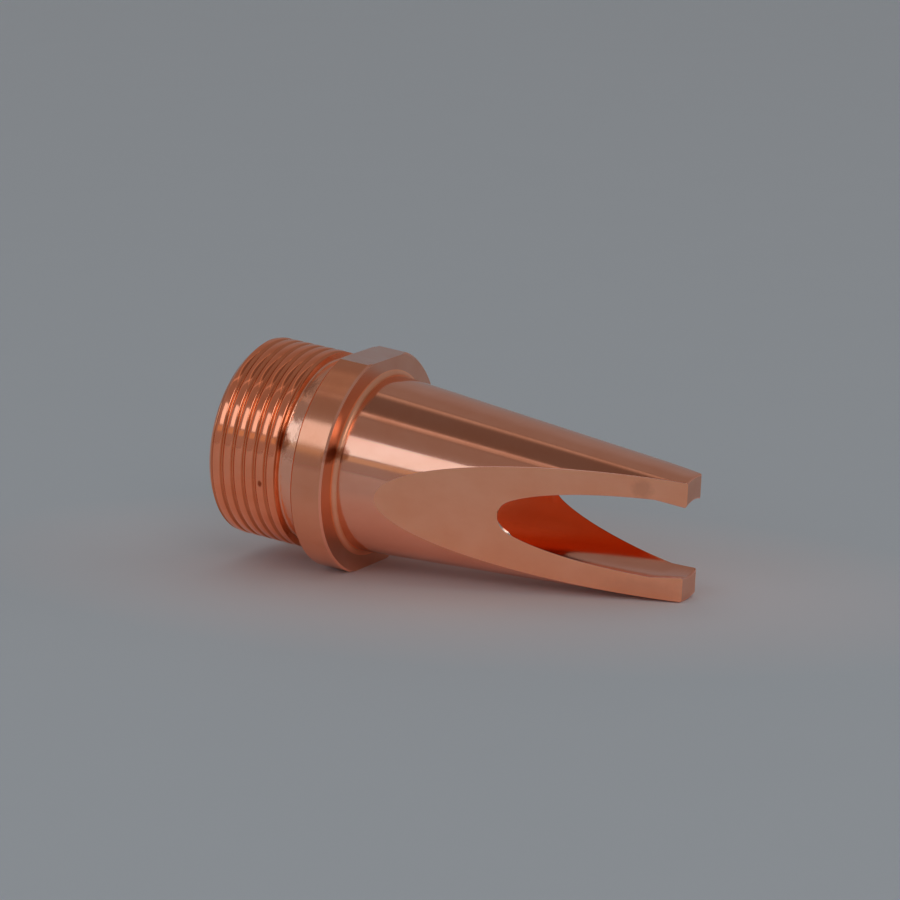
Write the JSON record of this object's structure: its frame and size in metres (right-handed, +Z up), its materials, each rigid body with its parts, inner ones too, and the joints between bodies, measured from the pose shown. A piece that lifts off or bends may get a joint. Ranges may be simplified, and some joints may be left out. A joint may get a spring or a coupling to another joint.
{
  "type": "laser welding nozzle",
  "caption": "Copper nozzle for a hand-held laser welding head, with a threaded spigot, a spanner flange and a tapered nose split into a fork.",
  "frame": {"origin": "on the surface the nozzle lies on, under the middle of its box", "axes": "+X towards the forked tip, +Z up, +Y across the flats; the nozzle's own axis dips 7.1 degrees from +X, because it lies on its lower spanner flat and its lower prong"},
  "size_m": [0.0402, 0.018, 0.0177],
  "materials": {
    "copper": "bright turned and milled copper, unplated"
  },
  "bodies": {
    "root": {"nozzle": "copper"}
  },
  "joints": []
}
